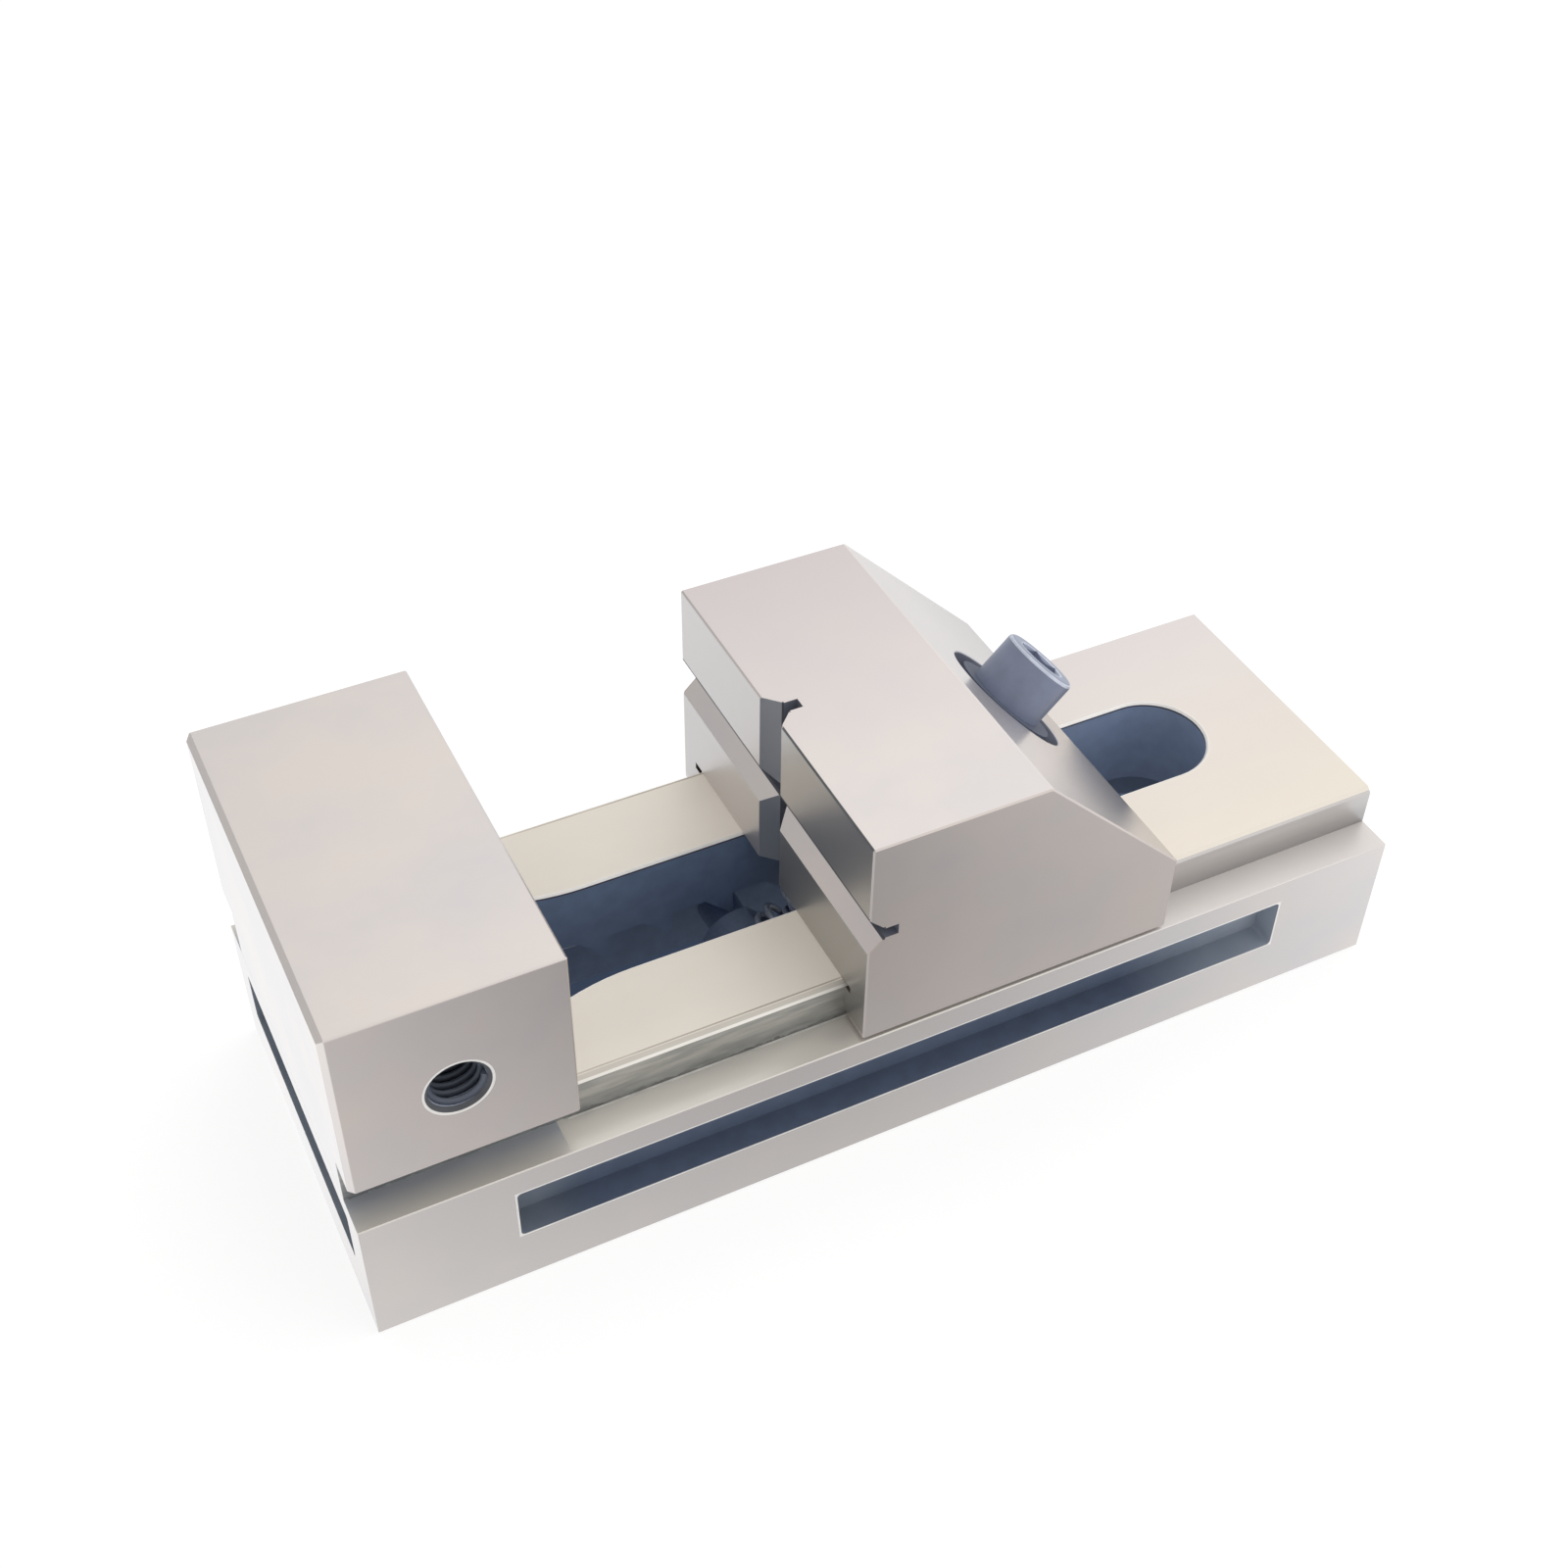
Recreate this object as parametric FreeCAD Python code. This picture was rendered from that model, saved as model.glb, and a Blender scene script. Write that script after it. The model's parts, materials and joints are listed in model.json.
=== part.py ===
import FreeCAD
import Part
import math
import os

# Pull-down toolmaker's vise, 73 mm class, in millimetres.
# X runs along the body from the fixed jaw to the open tail, Y across it, Z up.
# The origin is the centre of the body's ground bottom face.
# The movable jaw is drawn at the opening where it stands at rest, with the
# draw screw backed off so that its cross nut hangs clear of the rail notches.

# Body
body_length = 200.0
body_width = 73.0
body_height = 74.0
shelf_height = 28.2
bed_height = 36.5
bed_width = 59.0
fixed_jaw_length = 38.0
overhang_rise = 1.7
edge_break = 0.3
bottom_chamfer = 0.5
shelf_chamfer = 0.2
bed_chamfer = 1.0
back_chamfer = 1.0
corner_relief = 1.2

# Slot through the bed, and the channel under it
slot_width = 21.0
slot_head_margin = 21.0
slot_tail_margin = 19.0
slot_rim_chamfer = 0.4
slot_flare_reach = 20.0
slot_flare_radius = 45.0
channel_width = 42.0
channel_head_margin = 18.0
channel_tail_margin = 14.0
channel_corner_radius = 6.0
rail_underside = 17.0
notch_depth = 5.0
notches_each_way = 4

# Clamping pockets in the sides and ends
pocket_bottom = 11.7
pocket_height = 11.0
pocket_depth = 5.0
pocket_corner_radius = 0.8
side_pocket_head_margin = 26.0
side_pocket_tail_margin = 23.2
end_pocket_length = 57.6

# Tapped holes for a work stop, one in each side of the fixed jaw
stop_hole_back = 19.2
stop_hole_height = 54.0
stop_hole_radius = 4.76
stop_hole_countersink = 0.7
stop_hole_depth = 20.0

# Movable jaw
rest_opening = 51.0
max_opening = 100.0
jaw_top_length = 32.7
jaw_slope_run = 28.6
skirt_clearance = 0.8
side_clearance = 0.03
skirt_relief_height = 1.4
skirt_relief_depth = 1.8
skirt_relief_rise = 0.3
groove_half_width = 4.1
groove_slot_width = 2.2
groove_depth = 5.5
groove_height = 54.1

# Draw screw line, square to the jaw's slope
slope_degrees = 45.0
recess_from_top_edge = 20.3
recess_radius = 12.3
recess_depth = 8.0
recess_rim_chamfer = 0.2
passage_clearance = 1.0
spring_bore_radius = 8.5
spring_bore_start = 24.0

# Spherical washer and its seat
ball_radius = 15.0
ball_clearance = 0.05
ball_washer_radius = 10.0
ball_washer_bore_clearance = 0.25
ball_washer_rim = 1.3
seat_ring_fit = 0.1
seat_ring_height = 6.0
seat_ring_bore_clearance = 1.75

# Draw screw, 3/8 inch with 16 threads to the inch
screw_radius = 4.76
screw_pitch = 1.5875
head_radius = 7.15
head_height = 9.5
head_chamfer = 0.6
head_stand_out = 9.3
socket_across_flats = 7.94
socket_depth = 4.8
tip_chamfer = 1.0
tip_past_ring = 1.4

# Cross nut, with a trunnion each side that catches the notches
nut_radius = 8.0
nut_flat_half = 6.5
nut_half_length = 9.0
nut_bore_clearance = 0.05
trunnion_radius = 4.0
trunnion_end_clearance = 1.5
trunnion_chamfer = 0.5
raised_nut_drop = 0.5
nut_turns = 5.0
swing_degrees = 1.0
notch_clearance = 0.25

# Release spring, its washer and the retaining ring
spring_washer_thickness = 1.2
spring_washer_fit = 0.1
spring_wire_radius = 0.6
spring_side_clearance = 1.0
spring_turns = 9.0
spring_end_turns = 1.0
spring_turn_gap = 0.1
spring_end_gap = 0.2
steps_per_turn = 16
wire_sides = 8
ring_thickness = 1.0
ring_reach = 2.1
ring_groove_depth = 0.9
ring_fit = 0.05
ring_opening_degrees = 70.0
nut_to_ring_gap = 0.1

# How far a cutter reaches past the face it leaves by, and how close two
# places lie when they count as the same
cut_margin = 1.0
same_place = 0.01

# Places worked out from the sizes above
X_AXIS = FreeCAD.Vector(1, 0, 0)
Y_AXIS = FreeCAD.Vector(0, 1, 0)
Z_AXIS = FreeCAD.Vector(0, 0, 1)
head_end = -body_length / 2
tail_end = body_length / 2
half_width = body_width / 2
overhang_height = bed_height + overhang_rise
passage_radius = screw_radius + passage_clearance
ball_washer_bore_radius = screw_radius + ball_washer_bore_clearance
seat_ring_bore_radius = screw_radius + seat_ring_bore_clearance
spring_mean_radius = spring_bore_radius - spring_side_clearance - spring_wire_radius
ring_outer_radius = screw_radius + ring_reach
fixed_face = head_end + fixed_jaw_length
jaw_face = fixed_face + rest_opening
jaw_top_back = jaw_face + jaw_top_length
jaw_back = jaw_top_back + jaw_slope_run
slope = math.radians(slope_degrees)
slope_drop = jaw_slope_run * math.tan(slope)
skirt_bottom = shelf_height + skirt_clearance

# The draw line leaves the slope at draw_point, and depths below the slope
# are measured along it, towards the nut.
draw_point = FreeCAD.Vector(
    jaw_top_back + recess_from_top_edge * math.cos(slope),
    0,
    body_height - recess_from_top_edge * math.sin(slope),
)
draw_placement = FreeCAD.Placement(draw_point, FreeCAD.Rotation(Y_AXIS, slope_degrees))
head_seat_depth = head_height - head_stand_out
ball_centre_depth = head_seat_depth + ball_washer_rim - math.sqrt(ball_radius**2 - ball_washer_radius**2)
nut_raised_height = rail_underside - raised_nut_drop
nut_raised_depth = (draw_point.z - nut_raised_height) / math.cos(slope)
nut_travel = nut_turns * screw_pitch
nut_rest_depth = nut_raised_depth + nut_travel
nut_raised_x = draw_point.x - nut_raised_depth * math.sin(slope)
ring_depth = nut_rest_depth + nut_flat_half + nut_to_ring_gap
tip_depth = ring_depth + ring_thickness + tip_past_ring
spring_top_depth = spring_bore_start + spring_washer_thickness
spring_foot_depth = nut_rest_depth - nut_flat_half

# The row of notches shares the pitch of the jaw's travel. The jaw stands
# notch_shift off the middle of its travel, so each notch has that much slack.
notch_pitch = max_opening / (2 * notches_each_way)
notch_shift = (max_opening / 2 - rest_opening) / 2
swing_reach = (nut_raised_depth - ball_centre_depth) * math.tan(math.radians(swing_degrees))
notch_slack = abs(notch_shift) + notch_clearance


def block(x_low, x_high, y_low, y_high, z_low, z_high):
    corner = FreeCAD.Vector(x_low, y_low, z_low)
    return Part.makeBox(x_high - x_low, y_high - y_low, z_high - z_low, corner)


def prism(points, direction):
    outline = Part.makePolygon(points + [points[0]])
    return Part.Face(outline).extrude(direction)


def obround(x_low, x_high, width, z_low, z_high):
    radius = width / 2
    left = FreeCAD.Vector(x_low + radius, 0, z_low)
    right = FreeCAD.Vector(x_high - radius, 0, z_low)
    side = FreeCAD.Vector(0, radius, 0)
    reach = FreeCAD.Vector(radius, 0, 0)
    outline = Part.Wire([
        Part.makeLine(left - side, right - side),
        Part.Arc(right - side, right + reach, right + side).toShape(),
        Part.makeLine(right + side, left + side),
        Part.Arc(left + side, left - reach, left - side).toShape(),
    ])
    if z_high is None:
        return outline
    return Part.Face(outline).extrude(FreeCAD.Vector(0, 0, z_high - z_low))


def rounded_block(x_low, x_high, y_low, y_high, z_low, z_high, radius, axis):
    solid = block(x_low, x_high, y_low, y_high, z_low, z_high)
    corners = []
    for edge in solid.Edges:
        along = edge.tangentAt(edge.FirstParameter)
        if along.cross(axis).Length < same_place:
            corners.append(edge)
    return solid.makeFillet(radius, corners)


def drawn(shape):
    shape.Placement = draw_placement.multiply(shape.Placement)
    return shape


def down_rod(radius, top_depth, bottom_depth):
    foot = FreeCAD.Vector(0, 0, -bottom_depth)
    return Part.makeCylinder(radius, bottom_depth - top_depth, foot)


def turned(points):
    outline = [FreeCAD.Vector(radius, 0, -depth) for radius, depth in points]
    face = Part.Face(Part.makePolygon(outline + [outline[0]]))
    return face.revolve(FreeCAD.Vector(0, 0, 0), Z_AXIS, 360)


def long_chamfer(y_edge, z_edge, size, x_low, x_high):
    # Cuts the long edge at (y_edge, z_edge), on the outer side of the body.
    outward = math.copysign(1.0, y_edge)
    points = [
        FreeCAD.Vector(x_low, y_edge - outward * 2 * size, z_edge + size),
        FreeCAD.Vector(x_low, y_edge + outward * size, z_edge + size),
        FreeCAD.Vector(x_low, y_edge + outward * size, z_edge - 2 * size),
    ]
    return prism(points, FreeCAD.Vector(x_high - x_low, 0, 0))


def base_block():
    base = block(head_end, tail_end, -half_width, half_width, 0, shelf_height)
    foot = [edge for edge in base.Edges if edge.BoundBox.ZMax < shelf_height / 2]
    base = base.makeChamfer(bottom_chamfer, foot)
    for side in (-half_width, half_width):
        base = base.cut(long_chamfer(side, shelf_height, shelf_chamfer, head_end, tail_end))
    return base


def bed_block():
    bed = block(head_end, tail_end, -bed_width / 2, bed_width / 2, shelf_height, bed_height)
    for side in (-bed_width / 2, bed_width / 2):
        bed = bed.cut(long_chamfer(side, bed_height, bed_chamfer, fixed_face, tail_end))
    return bed


def fixed_jaw():
    jaw = block(head_end, fixed_face, -half_width, half_width, overhang_height, body_height)
    back = [edge for edge in jaw.Edges if is_back_edge(edge)]
    jaw = jaw.makeChamfer(back_chamfer, back)
    front = [edge for edge in jaw.Edges if is_front_edge(edge)]
    jaw = jaw.makeChamfer(edge_break, front)
    neck = block(head_end, fixed_face, -bed_width / 2, bed_width / 2, bed_height, overhang_height)
    return jaw.fuse(neck)


def is_back_edge(edge):
    middle = edge.CenterOfMass
    return abs(middle.x - head_end) < same_place and middle.z > overhang_height + same_place


def is_front_edge(edge):
    middle = edge.CenterOfMass
    on_face = abs(middle.x - fixed_face) < same_place and middle.z > overhang_height + same_place
    on_top = abs(middle.z - body_height) < same_place and abs(middle.y) > half_width - same_place
    return on_face or on_top


def slot_cutter():
    low = head_end + slot_head_margin
    high = tail_end - slot_tail_margin
    above = bed_height + corner_relief
    slot = obround(low, high, slot_width, -cut_margin, above)
    rim = obround(low - slot_rim_chamfer, high + slot_rim_chamfer,
                  slot_width + 2 * slot_rim_chamfer, bed_height, None)
    foot = obround(low, high, slot_width, bed_height - slot_rim_chamfer, None)
    slot = slot.fuse(Part.makeLoft([foot, rim], True))
    under_jaw = block(head_end, fixed_face, -body_width, body_width, bed_height, body_height)
    return slot.cut(under_jaw)


def flare_outline(extra, level):
    # Ahead of the fixed jaw the slot's two walls curve apart, up to its face.
    start = fixed_face + slot_flare_reach
    walls = []
    for side in (-1, 1):
        points = []
        for reach in (0, slot_flare_reach / 2, slot_flare_reach):
            widening = slot_flare_radius - math.sqrt(slot_flare_radius**2 - reach**2)
            across = side * (slot_width / 2 + extra + widening)
            points.append(FreeCAD.Vector(start - reach, across, level))
        walls.append(points)
    near, far = walls
    return Part.Wire([
        Part.Arc(*near).toShape(),
        Part.makeLine(near[-1], far[-1]),
        Part.Arc(*reversed(far)).toShape(),
        Part.makeLine(far[0], near[0]),
    ])


def flare_cutters():
    below = Part.Face(flare_outline(0, -cut_margin))
    straight = below.extrude(FreeCAD.Vector(0, 0, bed_height + cut_margin))
    foot = flare_outline(0, bed_height - slot_rim_chamfer)
    rim = flare_outline(slot_rim_chamfer, bed_height)
    return [straight, Part.makeLoft([foot, rim], True)]


def channel_cutter():
    return rounded_block(
        head_end + channel_head_margin, tail_end - channel_tail_margin,
        -channel_width / 2, channel_width / 2,
        -cut_margin, rail_underside,
        channel_corner_radius, Z_AXIS)


def notch_cutters():
    # Each notch has an upright wall towards the fixed jaw, and towards the
    # tail a flank square to the draw line, which the raised trunnion pulls on.
    cutters = []
    top = rail_underside + notch_depth
    below = rail_underside - notch_depth
    wall_reach = trunnion_radius + notch_slack + swing_reach * math.cos(slope)
    flank_reach = trunnion_radius + notch_clearance + notch_slack * math.sin(slope)
    for step in range(-notches_each_way, notches_each_way + 1):
        centre = nut_raised_x + notch_shift + step * notch_pitch
        flank_sum = centre + nut_raised_height + flank_reach / math.sin(slope)
        start = -channel_width / 2
        points = [
            FreeCAD.Vector(centre - wall_reach, start, below),
            FreeCAD.Vector(centre - wall_reach, start, top),
            FreeCAD.Vector(flank_sum - top, start, top),
            FreeCAD.Vector(flank_sum - rail_underside, start, rail_underside),
            FreeCAD.Vector(flank_sum - rail_underside, start, below),
        ]
        cutters.append(prism(points, FreeCAD.Vector(0, channel_width, 0)))
    return cutters


def pocket_cutters():
    pockets = []
    low = head_end + side_pocket_head_margin
    high = tail_end - side_pocket_tail_margin
    top = pocket_bottom + pocket_height
    for side in (-1, 1):
        inner = side * (half_width - pocket_depth)
        outer = side * (half_width + pocket_depth)
        pockets.append(rounded_block(low, high, min(inner, outer), max(inner, outer),
                                     pocket_bottom, top, pocket_corner_radius, Y_AXIS))
    reach = end_pocket_length / 2
    for end in (head_end, tail_end):
        pockets.append(rounded_block(end - pocket_depth, end + pocket_depth, -reach, reach,
                                     pocket_bottom, top, pocket_corner_radius, X_AXIS))
    return pockets


def stop_hole_cutters():
    holes = []
    mouth_radius = stop_hole_radius + stop_hole_countersink
    for side in (-1, 1):
        mouth = FreeCAD.Vector(head_end + stop_hole_back, side * half_width, stop_hole_height)
        inward = FreeCAD.Vector(0, -side, 0)
        holes.append(Part.makeCylinder(stop_hole_radius, stop_hole_depth, mouth, inward))
        holes.append(Part.makeCone(mouth_radius, stop_hole_radius,
                                   stop_hole_countersink, mouth, inward))
    return holes


def make_body():
    body = base_block().fuse([bed_block(), fixed_jaw()])
    cutters = [slot_cutter(), channel_cutter()]
    cutters += flare_cutters()
    cutters += notch_cutters()
    cutters += pocket_cutters()
    cutters += stop_hole_cutters()
    cutters.append(block(fixed_face - corner_relief, fixed_face, -body_width, body_width,
                         bed_height, bed_height + corner_relief))
    body = body.cut(cutters)
    return body.removeSplitter()


def jaw_groove_outline():
    straight = groove_half_width - groove_slot_width / 2
    return [
        (-cut_margin, -groove_half_width - cut_margin),
        (straight, -groove_slot_width / 2),
        (groove_depth, -groove_slot_width / 2),
        (groove_depth, groove_slot_width / 2),
        (straight, groove_slot_width / 2),
        (-cut_margin, groove_half_width + cut_margin),
    ]


def make_movable_jaw():
    start = -half_width
    profile = [
        FreeCAD.Vector(jaw_face, start, skirt_bottom),
        FreeCAD.Vector(jaw_face, start, body_height),
        FreeCAD.Vector(jaw_top_back, start, body_height),
        FreeCAD.Vector(jaw_back, start, body_height - slope_drop),
        FreeCAD.Vector(jaw_back, start, skirt_bottom),
    ]
    jaw = prism(profile, FreeCAD.Vector(0, body_width, 0))
    jaw = jaw.makeChamfer(edge_break, jaw.Edges)
    tunnel_half = bed_width / 2 + side_clearance
    relief_half = tunnel_half + skirt_relief_depth
    relief_top = bed_height + skirt_relief_rise
    cutters = [
        block(jaw_face - cut_margin, jaw_back + cut_margin, -tunnel_half, tunnel_half,
              skirt_bottom - cut_margin, bed_height),
        block(jaw_face - cut_margin, jaw_back + cut_margin, tunnel_half - cut_margin, relief_half,
              relief_top - skirt_relief_height, relief_top),
        block(jaw_face - cut_margin, jaw_back + cut_margin, -relief_half, cut_margin - tunnel_half,
              relief_top - skirt_relief_height, relief_top),
    ]
    level = [FreeCAD.Vector(jaw_face + x, start - cut_margin, groove_height + z)
             for x, z in jaw_groove_outline()]
    cutters.append(prism(level, FreeCAD.Vector(0, body_width + 2 * cut_margin, 0)))
    upright = [FreeCAD.Vector(jaw_face + x, y, skirt_bottom - cut_margin)
               for x, y in jaw_groove_outline()]
    cutters.append(prism(upright, FreeCAD.Vector(0, 0, body_height)))
    cutters.append(drawn(down_rod(recess_radius, -recess_depth, recess_depth)))
    rim = recess_radius + recess_rim_chamfer
    cutters.append(drawn(turned([(0, -cut_margin), (rim + cut_margin, -cut_margin),
                                 (recess_radius, recess_rim_chamfer), (0, recess_rim_chamfer)])))
    cutters.append(drawn(down_rod(passage_radius, 0, tip_depth)))
    cutters.append(drawn(down_rod(spring_bore_radius, spring_bore_start, tip_depth)))
    return jaw.cut(cutters).removeSplitter()


def make_seat_ring():
    top = recess_depth - seat_ring_height
    ring = down_rod(recess_radius - seat_ring_fit, top, recess_depth)
    ring = ring.cut(down_rod(seat_ring_bore_radius, 0, recess_depth + seat_ring_height))
    ball_centre = FreeCAD.Vector(0, 0, -ball_centre_depth)
    ring = ring.cut(Part.makeSphere(ball_radius + ball_clearance, ball_centre))
    return drawn(ring)


def make_ball_washer():
    thick = ball_centre_depth + ball_radius
    washer = down_rod(ball_washer_radius, head_seat_depth, thick)
    ball_centre = FreeCAD.Vector(0, 0, -ball_centre_depth)
    washer = washer.common(Part.makeSphere(ball_radius, ball_centre))
    washer = washer.cut(down_rod(ball_washer_bore_radius, -head_height, thick + head_height))
    return drawn(washer)


def make_draw_screw():
    head_top = head_seat_depth - head_height
    groove_radius = screw_radius - ring_groove_depth
    groove_end = ring_depth + ring_thickness + ring_fit
    screw = turned([
        (0, head_top),
        (head_radius - head_chamfer, head_top),
        (head_radius, head_top + head_chamfer),
        (head_radius, head_seat_depth),
        (screw_radius, head_seat_depth),
        (screw_radius, ring_depth - ring_fit),
        (groove_radius, ring_depth - ring_fit),
        (groove_radius, groove_end),
        (screw_radius, groove_end),
        (screw_radius, tip_depth - tip_chamfer),
        (screw_radius - tip_chamfer, tip_depth),
        (0, tip_depth),
    ])
    corner = socket_across_flats / 2 / math.cos(math.pi / 6)
    hexagon = []
    for side in range(6):
        angle = math.pi / 3 * side
        hexagon.append(FreeCAD.Vector(corner * math.cos(angle), corner * math.sin(angle), -head_top))
    socket = prism(hexagon, FreeCAD.Vector(0, 0, -socket_depth))
    lead_in = turned([
        (0, head_top),
        (corner, head_top),
        (0, head_top + corner),
    ])
    return drawn(screw.cut([socket, lead_in]))


def make_cross_nut():
    depth = nut_rest_depth
    centre = FreeCAD.Vector(0, -nut_half_length, -depth)
    nut = Part.makeCylinder(nut_radius, 2 * nut_half_length, centre, Y_AXIS)
    flats = block(-nut_radius, nut_radius, -nut_half_length, nut_half_length,
                  -depth - nut_flat_half, -depth + nut_flat_half)
    nut = nut.common(flats)
    reach = channel_width / 2 - trunnion_end_clearance
    outline = [
        FreeCAD.Vector(0, -reach, -depth),
        FreeCAD.Vector(trunnion_radius - trunnion_chamfer, -reach, -depth),
        FreeCAD.Vector(trunnion_radius, trunnion_chamfer - reach, -depth),
        FreeCAD.Vector(trunnion_radius, reach - trunnion_chamfer, -depth),
        FreeCAD.Vector(trunnion_radius - trunnion_chamfer, reach, -depth),
        FreeCAD.Vector(0, reach, -depth),
    ]
    bar = Part.Face(Part.makePolygon(outline + [outline[0]]))
    bar = bar.revolve(FreeCAD.Vector(0, 0, -depth), Y_AXIS, 360)
    nut = nut.fuse(bar)
    bore = down_rod(screw_radius + nut_bore_clearance, depth - 2 * nut_radius, depth + 2 * nut_radius)
    return drawn(nut.cut(bore))


def make_spring_washer():
    washer = down_rod(spring_bore_radius - spring_washer_fit, spring_bore_start, spring_top_depth)
    return drawn(washer.cut(down_rod(passage_radius, 0, tip_depth)))


def spring_rise(turn):
    # How high the wire stands after so many turns. It lies turn on turn at
    # both ends, and opens out evenly between them.
    close_pitch = 2 * spring_wire_radius + spring_turn_gap
    margin = spring_end_gap + spring_wire_radius
    height = spring_foot_depth - spring_top_depth - 2 * margin
    open_height = height - 2 * spring_end_turns * close_pitch
    open_turns = spring_turns - 2 * spring_end_turns
    opened = min(max(turn - spring_end_turns, 0), open_turns)
    rise = close_pitch * (turn - opened) + open_height * opened / open_turns
    return margin - spring_foot_depth + rise


def make_release_spring():
    # The wire is drawn with flats, few enough to keep the coil light.
    sections = []
    for step in range(round(spring_turns * steps_per_turn) + 1):
        turn = step / steps_per_turn
        angle = 2 * math.pi * turn
        corners = []
        for side in range(wire_sides):
            around = 2 * math.pi * side / wire_sides
            radius = spring_mean_radius + spring_wire_radius * math.cos(around)
            level = spring_rise(turn) + spring_wire_radius * math.sin(around)
            corners.append(FreeCAD.Vector(radius * math.cos(angle), radius * math.sin(angle), level))
        sections.append(Part.makePolygon(corners + [corners[0]]))
    return drawn(Part.makeLoft(sections, True, True))


def make_retaining_ring():
    inner = screw_radius - ring_groove_depth + ring_fit
    ring = down_rod(ring_outer_radius, ring_depth, ring_depth + ring_thickness)
    ring = ring.cut(down_rod(inner, 0, tip_depth))
    half_gap = math.radians(ring_opening_degrees / 2)
    far = 2 * ring_outer_radius
    points = [
        FreeCAD.Vector(0, 0, -tip_depth),
        FreeCAD.Vector(far * math.cos(half_gap), -far * math.sin(half_gap), -tip_depth),
        FreeCAD.Vector(far * math.cos(half_gap), far * math.sin(half_gap), -tip_depth),
    ]
    return drawn(ring.cut(prism(points, FreeCAD.Vector(0, 0, tip_depth))))


PIECES = {
    "body": make_body,
    "movable_jaw": make_movable_jaw,
    "seat_ring": make_seat_ring,
    "ball_washer": make_ball_washer,
    "draw_screw": make_draw_screw,
    "cross_nut": make_cross_nut,
    "spring_washer": make_spring_washer,
    "release_spring": make_release_spring,
    "retaining_ring": make_retaining_ring,
}

os.makedirs("parts", exist_ok=True)
for name, make in PIECES.items():
    make().exportStep("parts/" + name + ".step")
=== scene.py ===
import json
import math

import bmesh
import bpy
from mathutils import Matrix, Vector


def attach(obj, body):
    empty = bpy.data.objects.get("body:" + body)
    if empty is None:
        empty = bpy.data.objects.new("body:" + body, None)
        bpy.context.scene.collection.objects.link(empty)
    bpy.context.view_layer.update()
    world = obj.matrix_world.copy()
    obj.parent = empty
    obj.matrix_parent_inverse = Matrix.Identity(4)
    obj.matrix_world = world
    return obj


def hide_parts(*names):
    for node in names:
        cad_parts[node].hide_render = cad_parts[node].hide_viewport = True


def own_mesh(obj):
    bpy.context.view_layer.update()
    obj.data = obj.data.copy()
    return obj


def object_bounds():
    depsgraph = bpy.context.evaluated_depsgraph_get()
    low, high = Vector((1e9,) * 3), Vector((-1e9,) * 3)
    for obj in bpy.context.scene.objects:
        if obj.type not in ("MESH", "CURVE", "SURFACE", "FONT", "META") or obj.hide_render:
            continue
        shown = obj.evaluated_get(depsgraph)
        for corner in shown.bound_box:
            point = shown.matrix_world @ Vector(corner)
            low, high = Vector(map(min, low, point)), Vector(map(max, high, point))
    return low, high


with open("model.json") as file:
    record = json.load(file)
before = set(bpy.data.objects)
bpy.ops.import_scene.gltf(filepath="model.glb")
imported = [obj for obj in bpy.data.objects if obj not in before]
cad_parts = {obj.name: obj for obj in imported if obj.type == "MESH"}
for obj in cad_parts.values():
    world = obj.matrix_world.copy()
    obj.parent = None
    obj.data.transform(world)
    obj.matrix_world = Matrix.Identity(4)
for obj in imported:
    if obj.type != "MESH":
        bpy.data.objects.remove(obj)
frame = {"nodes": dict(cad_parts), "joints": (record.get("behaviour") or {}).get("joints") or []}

cad_low, cad_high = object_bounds()
MM = 0.001
circle_steps = 96

# Camera.
# The vise is seen from above its near left corner, from about 0.4 m, with a lens
# a little longer than the eye's, so its long edges draw together only slightly.
camera_place = Vector((-127.774, -234.233, 302.043)) * MM
camera_target = Vector((-1.343, 13.558, 42.269)) * MM
camera_roll = math.radians(1.0201)

camera_data = bpy.data.cameras.new("photo_camera")
camera_data.lens = 47.901
camera_data.sensor_width = 36.0
camera_data.sensor_fit = "HORIZONTAL"
camera_data.clip_start = 0.01
camera = bpy.data.objects.new("photo_camera", camera_data)
bpy.context.scene.collection.objects.link(camera)
ahead = (camera_target - camera_place).normalized()
level_right = ahead.cross(Vector((0, 0, 1))).normalized()
level_up = level_right.cross(ahead)
right = math.cos(camera_roll) * level_right + math.sin(camera_roll) * level_up
up = math.cos(camera_roll) * level_up - math.sin(camera_roll) * level_right
camera.matrix_world = Matrix((
    (right.x, up.x, -ahead.x, camera_place.x),
    (right.y, up.y, -ahead.y, camera_place.y),
    (right.z, up.z, -ahead.z, camera_place.z),
    (0, 0, 0, 1),
))
bpy.context.scene.camera = camera


# Body.
# One block of hardened tool steel: base, shelf, rails and fixed jaw in one piece.
# Its outside is surface ground, and what no wheel reaches, the slot, the channel,
# the notches and the clamping pockets, keeps the dark scale of its hardening.
def new_material(name):
    material = bpy.data.materials.new(name)
    material.use_nodes = True
    nodes = material.node_tree.nodes
    nodes.clear()
    output = nodes.new("ShaderNodeOutputMaterial")
    shader = nodes.new("ShaderNodeBsdfPrincipled")
    material.node_tree.links.new(shader.outputs["BSDF"], output.inputs["Surface"])
    return material, shader


def math_node(tree, operation, first, second=0.0):
    node = tree.nodes.new("ShaderNodeMath")
    node.operation = operation
    for socket, value in zip(node.inputs, (first, second)):
        if isinstance(value, (int, float)):
            socket.default_value = value
        else:
            tree.links.new(value, socket)
    return node.outputs[0]


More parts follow.
